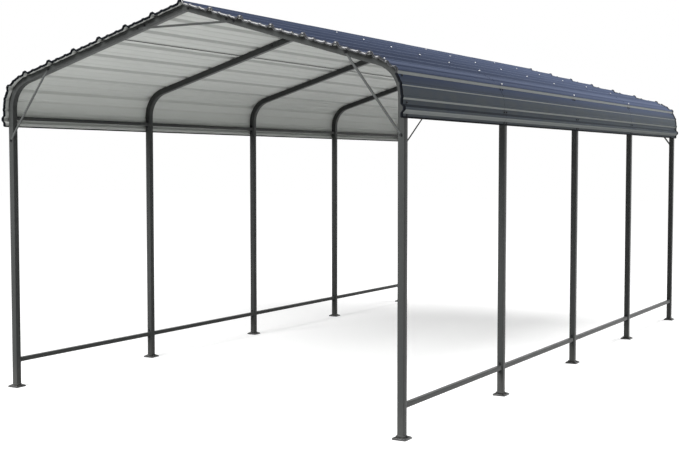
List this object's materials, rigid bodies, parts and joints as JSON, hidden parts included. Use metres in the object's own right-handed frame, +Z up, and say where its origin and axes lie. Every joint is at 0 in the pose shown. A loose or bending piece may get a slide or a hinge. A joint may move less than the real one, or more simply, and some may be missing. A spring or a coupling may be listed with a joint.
{
  "type": "carport",
  "caption": "Open steel carport: bow frames of square tube on posts with pressed feet, side rails, knee braces and a ribbed gable roof that turns down over rounded eaves.",
  "frame": {"origin": "on the ground under the middle of the roof", "axes": "+X to the right seen from the front, +Y from front to rear along the ridge, +Z up"},
  "size_m": [3.23, 6.12, 2.6554],
  "materials": {
    "frame": "satin charcoal powder coat",
    "feet": "satin charcoal powder coat",
    "roof": "slate blue coil coating outside, pale grey inside"
  },
  "bodies": {
    "root": {"post_left_1": "frame", "post_left_2": "frame", "post_left_3": "frame", "post_left_4": "frame", "post_left_5": "frame", "bow_left_1": "frame", "bow_left_2": "frame", "bow_left_3": "frame", "bow_left_4": "frame", "bow_left_5": "frame", "post_right_1": "frame", "post_right_2": "frame", "post_right_3": "frame", "post_right_4": "frame", "post_right_5": "frame", "bow_right_1": "frame", "bow_right_2": "frame", "bow_right_3": "frame", "bow_right_4": "frame", "bow_right_5": "frame", "ridge_elbows": "frame", "feet_left": "feet", "feet_right": "feet", "lower_rails_left": "frame", "lower_rails_right": "frame", "eave_rails_left": "frame", "eave_rails_right": "frame", "knee_braces_front": "frame", "knee_braces_rear": "frame", "ridge_tie_front": "frame", "ridge_tie_rear": "frame", "roof_sheet_left_1": "roof", "roof_sheet_left_2": "roof", "roof_sheet_left_3": "roof", "roof_sheet_left_4": "roof", "roof_sheet_right_1": "roof", "roof_sheet_right_2": "roof", "roof_sheet_right_3": "roof", "roof_sheet_right_4": "roof", "roof_sheet_ridge_1": "roof", "roof_sheet_ridge_2": "roof", "roof_sheet_ridge_3": "roof", "roof_sheet_ridge_4": "roof"}
  },
  "joints": []
}
